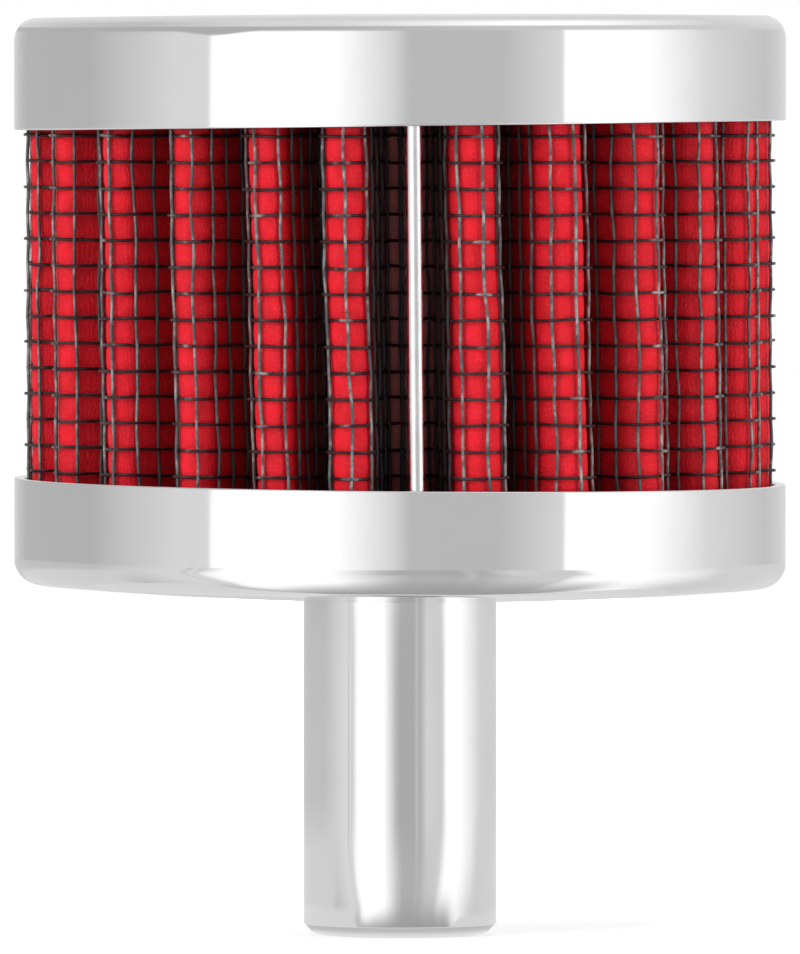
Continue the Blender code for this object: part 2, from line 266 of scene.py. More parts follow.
class Finishes(bpy.types.PropertyGroup):
    """Colours of the pieces."""

    chrome: colour("Chrome", "Plating on cups and tube", (0.80, 0.80, 0.805))
    cloth: colour("Cloth", "Oiled cotton", (0.78, 0.010, 0.020))
    # This colour serves twice: random patches where oil gathers, and painted shade that darkens the flanks of
    # the pleats towards the valleys.
    oil_and_flank_shade: colour("Soaked cloth", "Cotton where the oil has gathered", (0.40, 0.008, 0.010))
    # Painted shade: the valleys get this browner, paler colour to set how they look in their shade.
    valley_shade: colour("Deep cloth", "Cotton in the valleys, dark with oil and dust", (0.55, 0.16, 0.145))
    # Pale threads, and a painted pink sheen: this colour is laid only on the crests.
    threads_and_sheen: colour("Dry cloth", "Threads that stand up out of the oil", (0.86, 0.04, 0.075))
    upright: colour("Upright wire", "Coating of the wires that stand", (0.072, 0.072, 0.076))
    # Painted shade and a painted reflection of the red cloth: the rings are the same coated wire as the
    # uprights, given this darker, redder colour.
    ring: colour("Ring wire", "Coating of the wires that go round, wet with oil", (0.030, 0.010, 0.011))
    worn_wire: colour("Worn wire", "Coating where it is thin", (0.46, 0.45, 0.44))
    strip: colour("Strip", "Seam clip", (0.86, 0.86, 0.87))
    adhesive: colour("Adhesive", "Set adhesive in the cups", (0.03, 0.03, 0.032))


class StudioLight(bpy.types.PropertyGroup):
    """Strength of the lamps and the size of the table."""

    ambient: share("Ambient", "Even light from all round", 0.50)
    key: power("Key", "Lamp at the left front", 2.1)
    side: power("Side", "Lamp at the right", 1.5)
    top: power("Top", "Lamp overhead", 1.2)
    back: power("Back", "Lamp behind", 1.2)
    table_radius: length("Table radius", "Half the width of the pale table", 0.64)
    table_white: share("Table white", "Light that the camera sees added near the filter", 0.40)


# Meshes


def new_piece(name, data, material, stands_for):
    """A piece of the filter that rides on the frame and stands for one CAD node."""
    piece = bpy.data.objects.new(name, data)
    bpy.context.scene.collection.objects.link(piece)
    data.materials.append(material)
    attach(piece, BODY)
    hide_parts(stands_for)
    return piece


def rounded(corners, steps=8):
    """A profile of (radius, height, corner radius) points with its corners made round."""
    points = [Vector(corner[:2]) for corner in corners]
    line = [points[0]]
    for i in range(1, len(corners) - 1):
        line += corner_arc(points[i - 1], points[i], points[i + 1], corners[i][2], steps)
    return line + [points[-1]]


def corner_arc(before, corner, after, radius, steps):
    """Points of the arc that touches both sides of a corner."""
    if radius == 0:
        return [corner]
    back = (before - corner).normalized()
    on = (after - corner).normalized()
    half = back.angle(on) / 2
    centre = corner + (back + on).normalized() * (radius / math.sin(half))
    start = (corner + back * (radius / math.tan(half)) - centre).normalized()
    end = (corner + on * (radius / math.tan(half)) - centre).normalized()
    return [centre + start.slerp(end, i / steps) * radius for i in range(steps + 1)]


def turned_mesh(name, profile, steps, moved=None):
    """A mesh turned about Z from a profile of (radius, height) points."""
    angles = np.arange(steps) * 2 * math.pi / steps
    on_axis = profile[0][0] < MM / 100
    inner = profile[1:-1] if on_axis else profile
    rings = [
        np.stack([r * np.cos(angles), r * np.sin(angles), np.full(steps, z)], axis=1)
        for r, z in inner
    ]
    points = np.concatenate(rings)
    if moved:
        points = moved(points)
    verts = points.tolist()
    faces = []
    for ring in range(len(inner) - 1 if on_axis else len(inner)):
        low = ring * steps
        high = (ring + 1) % len(inner) * steps
        faces += [
            (low + i, high + i, high + (i + 1) % steps, low + (i + 1) % steps)
            for i in range(steps)
        ]
    if on_axis:
        last = (len(inner) - 1) * steps
        verts += [(0.0, 0.0, profile[0][1]), (0.0, 0.0, profile[-1][1])]
        faces += [(len(verts) - 2, i, (i + 1) % steps) for i in range(steps)]
        faces += [(len(verts) - 1, last + (i + 1) % steps, last + i) for i in range(steps)]
    mesh = bpy.data.meshes.new(name)
    mesh.from_pydata(verts, [], faces)
    mesh.shade_smooth()
    return mesh


def sheet_mesh(name, points, columns):
    """A mesh of rows of points, smooth, with as many columns as given."""
    faces = [
        (low + c, low + c + 1, low + columns + c + 1, low + columns + c)
        for low in range(0, len(points) - columns, columns)
        for c in range(columns - 1)
    ]
    mesh = bpy.data.meshes.new(name)
    mesh.from_pydata(points.tolist(), [], faces)
    mesh.shade_smooth()
    return mesh


def thickened(piece, thickness):
    """The modifier that gives a sheet its thickness, half to each side."""
    thick = piece.modifiers.new("Thickness", "SOLIDIFY")
    thick.thickness = thickness
    thick.offset = 0.0
    return thick


def weight_normals(piece):
    """Keeps flat faces flat where they run into round corners."""
    weighted = piece.modifiers.new("Weighted normals", "WEIGHTED_NORMAL")
    weighted.mode = "FACE_AREA"
    weighted.weight = 50


def cup_corners(sizes, hole):
    """Corners of a cup's section, with its face at height 0 and its rim below."""
    bore = CUP_RADIUS - sizes.wall
    edge = sizes.rim_round if hole else 0.0
    return [
        (hole, -sizes.wall / 2, 0.0),
        (hole, 0.0, edge),
        *[(hole + (CUP_RADIUS - hole) * part / 8, 0.0, 0.0) for part in range(1, 8)],
        (CUP_RADIUS, 0.0, sizes.corner),
        (CUP_RADIUS, -sizes.corner - 0.25 * MM, 0.0),
        (CUP_RADIUS, -CUP_HEIGHT, sizes.rim_round),
        (bore, -CUP_HEIGHT, sizes.rim_round),
        (bore, -sizes.wall, sizes.corner - sizes.wall),
        (hole, -sizes.wall, edge),
        (hole, -sizes.wall / 2, 0.0),
    ]


def pressed_shape(rim, bulge, face, corner, bore):
    """A move that tips and lowers a cup's rim, and lets its face bulge in the middle.

    Within the bore the face only moves away from the adhesive that lies on it.
    """
    tilt, drop = rim
    dome, peak, shift = bulge
    away = 1.0 if face > PACK_TOP else -1.0

    def moved(points):
        depth = np.abs(points[:, 2] - face)
        grown = np.clip((depth - corner) / (CUP_HEIGHT - corner), 0.0, 1.0)
        aside = np.hypot(points[:, 0] - peak, points[:, 1]) / CUP_RADIUS
        inside = (np.hypot(points[:, 0], points[:, 1]) < bore) & (depth > corner / 4)
        bulged = (shift - dome * aside**2) * (1 - grown)
        bulged = np.where(inside, away * np.maximum(away * bulged, 0.0), bulged)
        points[:, 2] += (tilt * points[:, 0] - drop) * grown + bulged
        return points

    return moved


# Folds of the sheet


def outward(angle):
    """Unit vector from the axis at an angle from the front, positive towards +X."""
    return Vector((math.sin(angle), -math.cos(angle)))


def sideways(angle):
    """Unit vector a quarter turn on from outward, towards a larger angle."""
    return Vector((math.cos(angle), math.sin(angle)))


def turned_by(vector, angle):
    """A flat vector turned anticlockwise by an angle."""
    cos, sin = math.cos(angle), math.sin(angle)
    return Vector((vector.x * cos - vector.y * sin, vector.x * sin + vector.y * cos))


class Fold:
    """A round bend of the sheet about one centre: a crest turns outward, a valley inward."""

    def __init__(self, centre, bend, is_crest):
        self.centre = centre
        self.bend = bend
        self.is_crest = is_crest

    def normal_to(self, other):
        """Sheet normal, on its outer face, along the flat that joins this fold to another."""
        along = other.centre - self.centre
        lean = math.acos((self.bend + other.bend) / along.length)
        direction = along.normalized()
        away = direction if self.is_crest else -direction
        side = 1 if direction.cross(self.centre) * (1 if self.is_crest else -1) > 0 else -1
        return turned_by(away, side * lean)


def pleat_shapes():
    """(turn in radians, bend) of every pleat, in order round from the seam."""
    rng = random.Random(UNSEEN_PLEAT_SEED)
    unseen = PLEAT_COUNT - len(RIGHT_PLEATS) - len(LEFT_PLEATS)
    middle = [(rng.uniform(-0.9, 0.9), rng.uniform(0.9, 1.3)) for _ in range(unseen)]
    shapes = list(RIGHT_PLEATS) + middle + list(reversed(LEFT_PLEATS))
    return [(math.radians(nudge), bend * MM) for nudge, bend in shapes]


def lining(screens):
    """Room that a screen takes on a face of the cloth."""
    return screens.gap + screens.wire


def pleat_folds(pleats, screens):
    """Every fold of the sheet in order round the pack, starting after the seam."""
    crest_edge = pleats.radius - lining(screens) - pleats.sheet / 2
    valley_edge = pleats.radius - lining(screens) - pleats.depth + pleats.sheet / 2
    valley_centre = valley_edge + pleats.valley_bend
    shapes = pleat_shapes()
    folds = [seam_valley(pleats, valley_centre, 1)]
    for i, (nudge, bend) in enumerate(shapes):
        angle = SEAM_ANGLE + SEAM_HALF_SPAN + i * PLEAT_PITCH
        centre = outward(angle + nudge) * (crest_edge - bend)
        folds.append(Fold(centre, bend, True))
        if i < PLEAT_COUNT - 1:
            between = angle + PLEAT_PITCH / 2 + (nudge + shapes[i + 1][0]) / 4
            folds.append(Fold(outward(between) * valley_centre, pleats.valley_bend, False))
    folds.append(seam_valley(pleats, valley_centre, -1))
    return folds


def seam_side(pleats):
    """Distance of the middle of a pressed end from the middle of the seam."""
    return (pleats.seam_slit + pleats.pressed) / 2


def seam_valley(pleats, valley_centre, side):
    """The valley between the pressed sheet ends and the next pleat, on one side of the seam."""
    bend = pleats.seam_valley_bend
    aside = (seam_side(pleats) + bend) * side
    centre = outward(SEAM_ANGLE) * valley_centre + sideways(SEAM_ANGLE) * aside
    return Fold(centre, bend, False)


def swept(entry, leave, clockwise):
    """Angle through which the normal turns across a fold, with its sign."""
    angle = math.atan2(entry.cross(leave), entry.dot(leave))
    if clockwise and angle > 0:
        angle -= 2 * math.pi
    if not clockwise and angle < 0:
        angle += 2 * math.pi
    return angle


class Section:
    """The sheet's middle line seen from above, with its normals, thickness and crests."""

    def __init__(self, pleats, screens, crest_steps, valley_steps, flat_steps):
        folds = pleat_folds(pleats, screens)
        seam_entry = sideways(SEAM_ANGLE)
        flats = [first.normal_to(second) for first, second in zip(folds, folds[1:])]
        entries = [seam_entry] + flats
        leaves = flats + [-seam_entry]
        pressed = pleats.pressed / pleats.sheet
        rows = []
        for i, (fold, entry, leave) in enumerate(zip(folds, entries, leaves)):
            steps = crest_steps if fold.is_crest else valley_steps
            sign = 1 if fold.is_crest else -1
            angle = swept(entry, leave, not fold.is_crest)
            if i > 0:
                rows += flat_rows(rows[-1], fold.centre + entry * sign * fold.bend, flat_steps)
            for j in range(steps + 1):
                normal = turned_by(entry, angle * j / steps)
                point = fold.centre + normal * sign * fold.bend
                full = 1.0
                if i == 0:
                    full = pressed + (1 - pressed) * j / steps
                if i == len(folds) - 1:
                    full = 1 - (1 - pressed) * j / steps
                rows.append((*point, *normal, full, 1.0 if fold.is_crest else 0.0))
        table = np.array(rows)
        self.middle = table[:, 0:2]
        self.normal = table[:, 2:4]
        self.full = table[:, 4]
        self.crest = table[:, 5]

    def shifted(self, distance):
        """The line at a distance from the faces of the cloth, outside where it is positive."""
        return self.middle + self.normal * distance[:, None]


def flat_rows(last, end, steps):
    """Rows of the section along a flat, between the last row and the next fold."""
    start = Vector(last[:2])
    rows = []
    for i in range(1, steps):
        point = start.lerp(end, i / steps)
        rows.append((*point, *last[2:4], 1.0, last[5] + (1 - 2 * last[5]) * i / steps))
    return rows


def run_length(line):
    """Distance along a line at each of its points."""
    steps = np.linalg.norm(np.diff(line, axis=0), axis=1)
    return np.concatenate([[0.0], np.cumsum(steps)])


def leaned(points, pleats):
    """Points of the pack turned about its axis, more the further they are from its middle."""
    angle = np.arctan2(points[:, 0], -points[:, 1])
    from_seam = np.clip(np.abs(angle - SEAM_ANGLE) / SEAM_HALF_SPAN, 0.0, 1.0)
    lean = pleats.seam_lean + (pleats.lean - pleats.seam_lean) * from_seam
    height = (points[:, 2] - PACK_MIDDLE) / (PACK_TOP - PACK_BOTTOM - 6 * MM)
    wobble = np.sin(angle * 9 + height * 4) * np.sin(height * 5 + angle * 4 + 1.0)
    angle = angle - lean * height + math.radians(0.22) * from_seam * wobble
    radius = np.hypot(points[:, 0], points[:, 1])
    return np.stack([radius * np.sin(angle), -radius * np.cos(angle), points[:, 2]], axis=1)


def ring_heights(screens):
    """Heights of the wires that go round, also those inside the cups."""
    below = math.floor((screens.first_ring - PACK_BOTTOM) / screens.mesh)
    lowest = screens.first_ring - below * screens.mesh
    rings = math.floor((PACK_TOP - lowest) / screens.mesh) + 1
    return lowest + np.arange(rings) * screens.mesh


def screen_offset(section, pleats, screens):
    """Distance of the wires' middles from the middle of the sheet."""
    return section.full * pleats.sheet / 2 + screens.gap + screens.wire / 2


def in_cups(height):
    """Whether a height is hidden in one of the cups."""
    return height < BASE_FACE + CUP_HEIGHT - MM / 2 or height > TOP_FACE - CUP_HEIGHT + MM / 2


def cloth_levels(screens):
    """Heights of the rows of the cloth: four to each wire in sight, fewer in the cups."""
    rings = ring_heights(screens)
    levels = [PACK_BOTTOM]
    for low, high in zip(rings, rings[1:]):
        parts = 1 if in_cups(low) and in_cups(high) else 4
        levels += [low + (high - low) * i / parts for i in range(parts)]
    return np.array(levels + [rings[-1], PACK_TOP])


def squares(along, screens):
    """0 at a wire and 1 half way between two, at distances along the wires' line."""
    return np.abs(np.sin(np.pi * along / screens.mesh))


def make_cloth(material, pleats, screens):
    """The pleated cotton, pressed in at the wires and puffed out between them."""
    section = Section(pleats, screens, 12, 3, 4)
    wires = section.shifted(screen_offset(section, pleats, screens))
    along = run_length(wires)
    levels = cloth_levels(screens)
    columns, rows = len(along), len(levels)
    across = squares(along - screens.first_upright, screens) * section.crest
    across += 0.7 * (1 - section.crest)
    up = squares(levels - screens.first_ring, screens)
    puff = pleats.puff * (np.sqrt(up[:, None] * across[None, :]) - 0.4)
    puff *= section.full[None, :]
    flat = section.middle[None, :, :] + section.normal[None, :, :] * puff[:, :, None]
    points = np.zeros((rows, columns, 3))
    points[:, :, :2] = flat
    points[:, :, 2] = levels[:, None]
    points = leaned(points.reshape(-1, 3), pleats)
    mesh = sheet_mesh("cloth", points, columns)
    places = np.zeros((rows, columns, 3))
    places[:, :, 0] = along[None, :] / MM
    places[:, :, 1] = levels[:, None] / MM
    places[:, :, 2] = section.crest[None, :]
    attribute = mesh.attributes.new("sheet_place", "FLOAT_VECTOR", "POINT")
    attribute.data.foreach_set("vector", places.astype(np.float32).ravel())
    piece = new_piece("cloth", mesh, material, "gauze_pleats")
    group = piece.vertex_groups.new(name="Share of full thickness")
    for c in range(columns):
        group.add([r * columns + c for r in range(rows)], section.full[c], "REPLACE")
    thick = thickened(piece, pleats.sheet)
    thick.vertex_group = group.name
    thick.thickness_vertex_group = 0.0


def new_wires(name, lines, closed, screens, material, stands_for, sides):
    """Wires along lines of points, as one curve piece."""
    curve = bpy.data.curves.new(name, "CURVE")
    curve.dimensions = "3D"
    curve.bevel_depth = screens.wire / 2
    curve.bevel_resolution = sides // 2 - 2
    curve.use_fill_caps = True
    for line in lines:
        spline = curve.splines.new("POLY")
        spline.points.add(len(line) - 1)
        row = np.ones((len(line), 4))
        row[:, :3] = line
        spline.points.foreach_set("co", row.ravel())
        spline.use_cyclic_u = closed
        spline.use_smooth = True
    return new_piece(name, curve, material, stands_for)


def line_at(line, along, wanted):
    """Points and normals of a line at wanted distances along it."""

    def at(distances):
        return np.stack([np.interp(distances, along, line[:, i]) for i in (0, 1)], axis=1)

    step = 0.02 * MM
    tangent = at(wanted + step) - at(wanted - step)
    tangent /= np.linalg.norm(tangent, axis=1)[:, None]
    return at(wanted), np.stack([tangent[:, 1], -tangent[:, 0]], axis=1)


def strays(rng, places, reach):
    """Smooth irregular shifts at places along a wire, up to about a reach."""
    waves = [(rng.uniform(4.0, 14.0) * MM, rng.uniform(0.0, 2 * math.pi)) for _ in range(4)]
    return sum(np.sin(2 * np.pi * places / size + start) for size, start in waves) * reach / 2.5


def weave_wires(line, face, pleats, screens, parts, row_parts):
    """(rings, uprights) of a woven screen along a line, as lines of points."""
    rng = random.Random(STRAY_SEED)
    along = run_length(line)
    heights = ring_heights(screens)
    first = screens.first_upright
    uprights = first + np.arange(math.floor((along[-1] - first) / screens.mesh)) * screens.mesh
    wanted = np.arange(0.0, along[-1] / screens.mesh, 1 / parts) * screens.mesh
    tight = [s for s in along if np.min(np.abs(wanted - s)) > 0.18 * MM]
    wanted = np.sort(np.concatenate([wanted, tight[:: max(1, 6 - parts)]]))
    place, normal = line_at(line, along, wanted)
    rings = []
    for k, height in enumerate(heights):
        crimp = face * screens.ring_crimp * (0.2 if in_cups(height) else 1.0)
        wave = np.cos(np.pi * (wanted - first) / screens.mesh + np.pi * k)
        flat = place + normal * (crimp * wave)[:, None]
        points = np.column_stack([flat, height + strays(rng, wanted, screens.stray / 2)])
        rings.append(leaned(points, pleats))
    levels = np.arange(heights[0] - screens.mesh, heights[-1] + screens.mesh, screens.mesh / row_parts)
    levels = np.concatenate([[PACK_BOTTOM], levels[(levels > PACK_BOTTOM) & (levels < PACK_TOP)], [PACK_TOP]])
    stems = []
    for k, upright in enumerate(uprights):
        wave = -np.cos(np.pi * (levels - heights[0]) / screens.mesh + np.pi * k)
        place, normal = line_at(line, along, upright + strays(rng, levels, screens.stray))
        flat = place + normal * (face * screens.upright_crimp * wave)[:, None]
        stems.append(leaned(np.column_stack([flat, levels]), pleats))
    return rings, stems


def make_outer_screen(ring_material, upright_material, pleats, screens):
    """The wire screen in sight, from one side of the seam to the other."""
    section = Section(pleats, screens, 24, 6, 10)
    line = section.shifted(screen_offset(section, pleats, screens))
    reach = pleats.radius - clip_side(pleats, screens) - screens.clip_leg - screens.wire
    foot = outward(SEAM_ANGLE) * reach
    aside = sideways(SEAM_ANGLE) * (seam_side(pleats) + pleats.pressed / 2 + screens.gap + screens.wire / 2)
    line = np.vstack([[foot + aside], line, [foot - aside]])
    rings, uprights = weave_wires(line, 1, pleats, screens, 2, 2)
    new_wires("screen_rings", rings, False, screens, ring_material, "outer_screen", 6)
    new_wires("screen_uprights", uprights, False, screens, upright_material, "outer_screen", 6)


def make_inner_screen(ring_material, upright_material, pleats, screens):
    """The wire screen on the clean side, a closed loop that passes behind the seam."""
    section = Section(pleats, screens, 4, 4, 3)
    line = section.shifted(-screen_offset(section, pleats, screens))[2:-2]
    rings, uprights = weave_wires(line, -1, pleats, screens, 1, 1)
    new_wires("inner_rings", rings, True, screens, ring_material, "inner_screen", 4)
    new_wires("inner_uprights", uprights[::2], False, screens, upright_material, "inner_screen", 4)


def clip_side(pleats, screens):
    """Distance of the middle of the clip's strip from the middle of the seam."""
    return pleats.seam_slit / 2 + pleats.pressed + screens.clip_gap + screens.clip_wall / 2


def make_clip(material, pleats, screens):
    """Narrow bright strip folded over the two ends of the sheet."""
    side_reach = clip_side(pleats, screens)
    nose = outward(SEAM_ANGLE) * (pleats.radius - side_reach - screens.clip_wall / 2)
    side = sideways(SEAM_ANGLE) * side_reach
    leg = outward(SEAM_ANGLE) * screens.clip_leg
    line = [nose - side - leg, nose - side - leg * 0.4]
    for i in range(17):
        angle = math.pi * i / 16
        rise = outward(SEAM_ANGLE) * side_reach * math.sin(angle)
        line.append(nose - side * math.cos(angle) + rise)
    line += [nose + side - leg * 0.4, nose + side - leg]
    levels = np.linspace(PACK_BOTTOM, PACK_TOP, 25)
    points = leaned(np.array([(p.x, p.y, z) for z in levels for p in line]), pleats)
    mesh = sheet_mesh("clip", points, len(line))
    thickened(new_piece("clip", mesh, material, "seam_clip"), screens.clip_wall)


# Shader nodes


def feed(tree, socket, value):
    """Links a socket, or sets its plain value."""
    if isinstance(value, bpy.types.NodeSocket):
        tree.links.new(value, socket)
    else:
        socket.default_value = value


def maths(tree, operation, *values):
    node = tree.nodes.new("ShaderNodeMath")
    node.operation = operation
    for socket, value in zip(node.inputs, values):
        feed(tree, socket, value)
    return node.outputs[0]


def smooth_range(tree, value, low, high, to_low=0.0, to_high=1.0, kind="SMOOTHSTEP"):
    node = tree.nodes.new("ShaderNodeMapRange")
    node.interpolation_type = kind
    for socket, given in zip(node.inputs, (value, low, high, to_low, to_high)):
        feed(tree, socket, given)
    return node.outputs[0]


def mixed(tree, factor, first, second):
    """Two colours mixed, each a socket or red, green and blue."""
    node = tree.nodes.new("ShaderNodeMix")
    node.data_type = "RGBA"
    feed(tree, node.inputs["Factor"], factor)
    for socket, given in ((node.inputs[6], first), (node.inputs[7], second)):
        feed(tree, socket, given if isinstance(given, bpy.types.NodeSocket) else (*given, 1.0))
    return node.outputs[2]


def noise(tree, vector, scale, detail=2.0, roughness=0.5):
    node = tree.nodes.new("ShaderNodeTexNoise")
    feed(tree, node.inputs["Vector"], vector)
    feed(tree, node.inputs["Scale"], scale)
    node.inputs["Detail"].default_value = detail
    node.inputs["Roughness"].default_value = roughness
    return node.outputs["Fac"]


def vector_maths(tree, operation, *values):
    node = tree.nodes.new("ShaderNodeVectorMath")
    node.operation = operation
    for socket, value in zip(node.inputs, values):
        feed(tree, socket, value)
    return node.outputs["Value" if operation == "LENGTH" else "Vector"]


def scaled(colour, share):
    """A colour made darker or lighter."""
    return tuple(part * share for part in colour)


def mottled(tree, groups, place, scale, low, high):
    """Soft patches at a scale, between a low and a high value."""
    return place_group(tree, groups["mottle"], Vector=place, Scale=scale, Low=low, High=high)[0]


def new_group(name, inputs, outputs):
    """An empty shader group, with its input and output sockets."""
    group = bpy.data.node_groups.new(name, "ShaderNodeTree")
    for label, kind, default in inputs:
        socket = group.interface.new_socket(label, in_out="INPUT", socket_type=kind)
        if default is not None:
            socket.default_value = default
    for label in outputs:
        group.interface.new_socket(label, in_out="OUTPUT", socket_type="NodeSocketFloat")
    source = group.nodes.new("NodeGroupInput")
    sink = group.nodes.new("NodeGroupOutput")
    return group, source.outputs, sink.inputs


def place_group(tree, group, **values):
    """A group in a tree, with its inputs fed, as its outputs."""
    node = tree.nodes.new("ShaderNodeGroup")
    node.node_tree = group
    for label, value in values.items():
        feed(tree, node.inputs[label], value)
    return node.outputs


def mottle_group():
    """Soft patches between a low and a high value, such as oil, smears and thin coating."""
    group, given, made = new_group(
        "Mottle",
        (
            ("Vector", "NodeSocketVector", None),
            ("Scale", "NodeSocketFloat", 100.0),
            ("Low", "NodeSocketFloat", 0.0),
            ("High", "NodeSocketFloat", 1.0),
        ),
        ("Value",),
    )
    patches = noise(group, given["Vector"], given["Scale"], 4.0, 0.6)
    value = smooth_range(group, patches, 0.35, 0.68, given["Low"], given["High"])
    feed(group, made["Value"], value)
    return group


def ripple_group():
    """Height of faint unevenness left in the metal by drawing and polishing it."""
    group, given, made = new_group(
        "Drawn ripple",
        (
            ("Vector", "NodeSocketVector", None),
            ("Swell", "NodeSocketFloat", 150.0),
            ("Lines", "NodeSocketFloat", 2500.0),
            ("Line Share", "NodeSocketFloat", 0.1),
        ),
        ("Height",),
    )
    swell = noise(group, given["Vector"], given["Swell"], 1.0)
    long = vector_maths(group, "MULTIPLY", given["Vector"], (1.0, 1.0, 0.02))
    lines = noise(group, long, given["Lines"], 3.0, 0.6)
    share_of_lines = maths(group, "MULTIPLY", lines, given["Line Share"])
    feed(group, made["Height"], maths(group, "ADD", swell, share_of_lines))
    return group


def weave_group():
    """Height of an open plain weave, from places along and up the cloth in millimetres."""
    group, given, made = new_group(
        "Open weave",
        (("Vector", "NodeSocketVector", None), ("Thread Pitch", "NodeSocketFloat", 0.36)),
        ("Height", "Fluff"),
    )
    stray = noise(group, given["Vector"], 1.3, 2.0)
    place = group.nodes.new("ShaderNodeSeparateXYZ")
    feed(group, place.inputs[0], given["Vector"])
    shift = maths(group, "MULTIPLY", stray, 0.9)
    waves = []
    for axis in (0, 1):
        moved = maths(group, "ADD", place.outputs[axis], shift)
        turns = maths(group, "DIVIDE", moved, given["Thread Pitch"])
        waves.append(maths(group, "SINE", maths(group, "MULTIPLY", turns, math.pi)))
    parity = maths(group, "MULTIPLY", *waves)
    over = smooth_range(group, parity, -1.0, 1.0, 0.2, 1.0, "LINEAR")
    under = smooth_range(group, parity, -1.0, 1.0, 1.0, 0.2, "LINEAR")
    warp = maths(group, "MULTIPLY", maths(group, "ABSOLUTE", waves[0]), over)
    weft = maths(group, "MULTIPLY", maths(group, "ABSOLUTE", waves[1]), under)
    feed(group, made["Height"], maths(group, "MAXIMUM", warp, weft))
    feed(group, made["Fluff"], noise(group, given["Vector"], 5.5, 5.0, 0.7))
    return group


def new_material(name):
    """A material with its tree and its shader."""
    material = bpy.data.materials.new(name)
    material.use_nodes = True
    tree = material.node_tree
    return material, tree, tree.nodes["Principled BSDF"]


def object_place(tree):
    return tree.nodes.new("ShaderNodeTexCoord").outputs["Object"]


def bumped(tree, shader, height, distance, strength=1.0):
    bump = tree.nodes.new("ShaderNodeBump")
    bump.inputs["Distance"].default_value = distance
    bump.inputs["Strength"].default_value = strength
    feed(tree, bump.inputs["Height"], height)
    feed(tree, shader.inputs["Normal"], bump.outputs[0])


def chrome_material(name, finishes, groups, swell, lines, line_share):
    """Mirror plating with faint smears and the unevenness of the metal under it."""
    material, tree, shader = new_material(name)
    place = object_place(tree)
    smears = mottled(tree, groups, place, 90.0, 0.0, 1.0)
    smeared = scaled(finishes.chrome, 0.965)
    feed(tree, shader.inputs["Base Color"], mixed(tree, smears, finishes.chrome, smeared))
    shader.inputs["Metallic"].default_value = 1.0
    rough = smooth_range(tree, smears, 0.0, 1.0, 0.035, 0.075, "LINEAR")
    feed(tree, shader.inputs["Roughness"], rough)
    ripple = place_group(
        tree, groups["ripple"], Vector=place, Swell=swell, Lines=lines, **{"Line Share": line_share}
    )
    bumped(tree, shader, ripple[0], 0.02 * MM)
    return material


def cloth_material(finishes, groups):
    """Layered open cotton damp with red oil; paler threads with a painted sheen on the crests, painted shade
    in the folds.
    """
    material, tree, shader = new_material("Oiled cotton gauze")
    attribute = tree.nodes.new("ShaderNodeAttribute")
    attribute.attribute_name = "sheet_place"
    place = attribute.outputs["Vector"]
    weave = place_group(tree, groups["weave"], Vector=place, **{"Thread Pitch": 0.36})
    split = tree.nodes.new("ShaderNodeSeparateXYZ")
    feed(tree, split.inputs[0], place)
    crest = split.outputs[2]
    oil = mottled(tree, groups, place, 0.7, 0.0, 0.45)
    wet = mixed(tree, oil, finishes.cloth, finishes.oil_and_flank_shade)
    # Painted shade: the flanks are darkened towards the valleys with the dark oil colour, so from here on wet
    # holds oil patches and painted shade.
    flank = smooth_range(tree, crest, 0.3, 1.0, 0.85, 0.0)
    wet = mixed(tree, flank, wet, finishes.oil_and_flank_shade)
    # Painted shade: the valleys take their own browner colour.
    valley = smooth_range(tree, crest, 0.0, 0.6, 1.0, 0.0)
    wet = mixed(tree, valley, wet, finishes.valley_shade)
    threads = maths(tree, "MULTIPLY", weave["Height"], weave["Fluff"])
    pale = smooth_range(tree, threads, 0.25, 0.65, 0.0, 0.5)
    tufts = mottled(tree, groups, place, 1.1, 0.25, 1.0)
    pale = maths(tree, "MULTIPLY", maths(tree, "ADD", pale, 0.15), tufts)
    # Painted sheen: the pale pink threads are kept to the crests, where the light falls most.
    pale = maths(tree, "MULTIPLY", pale, crest)
    feed(tree, shader.inputs["Base Color"], mixed(tree, pale, wet, finishes.threads_and_sheen))
    rough = smooth_range(tree, weave["Fluff"], 0.3, 0.7, 0.45, 0.8, "LINEAR")
    feed(tree, shader.inputs["Roughness"], rough)
    shader.inputs["Specular IOR Level"].default_value = 0.25
    height = maths(tree, "ADD", weave["Height"], maths(tree, "MULTIPLY", weave["Fluff"], 1.2))
    bumped(tree, shader, height, 0.03 * MM)
    return material


def wire_material(name, coating, worn_share, gloss, finishes, groups):
    """Satin coating, worn through to bright wire where it stands out, dull and with painted shade in the
    folds.
    """
    material, tree, shader = new_material(name)
    place = object_place(tree)
    from_axis = vector_maths(tree, "LENGTH", vector_maths(tree, "MULTIPLY", place, (1.0, 1.0, 0.0)))
    outer = smooth_range(tree, from_axis, *OUT_OF_FOLDS)
    proud = smooth_range(tree, from_axis, *STANDS_PROUD, 0.0, 0.7)
    specks = maths(tree, "POWER", mottled(tree, groups, place, 900.0, 0.0, 1.0), 2.0)
    share_worn = maths(tree, "MULTIPLY", maths(tree, "ADD", proud, worn_share), specks)
    share_worn = maths(tree, "MULTIPLY", share_worn, outer)
    # Painted shade: the coating is darker where the wire lies in a fold.
    coat = mixed(tree, outer, scaled(coating, 0.8), coating)
    coat = mixed(tree, share_worn, coat, finishes.worn_wire)
    feed(tree, shader.inputs["Base Color"], coat)
    feed(tree, shader.inputs["Metallic"], maths(tree, "MULTIPLY", share_worn, 0.9))
    rough = mottled(tree, groups, place, 1300.0, 0.22, 0.45)
    feed(tree, shader.inputs["Roughness"], mix_values(tree, outer, 0.9, rough))
    shader.inputs["Specular IOR Level"].default_value = gloss
    bumped(tree, shader, noise(tree, place, 2600.0, 3.0), 0.03 * MM)
    return material


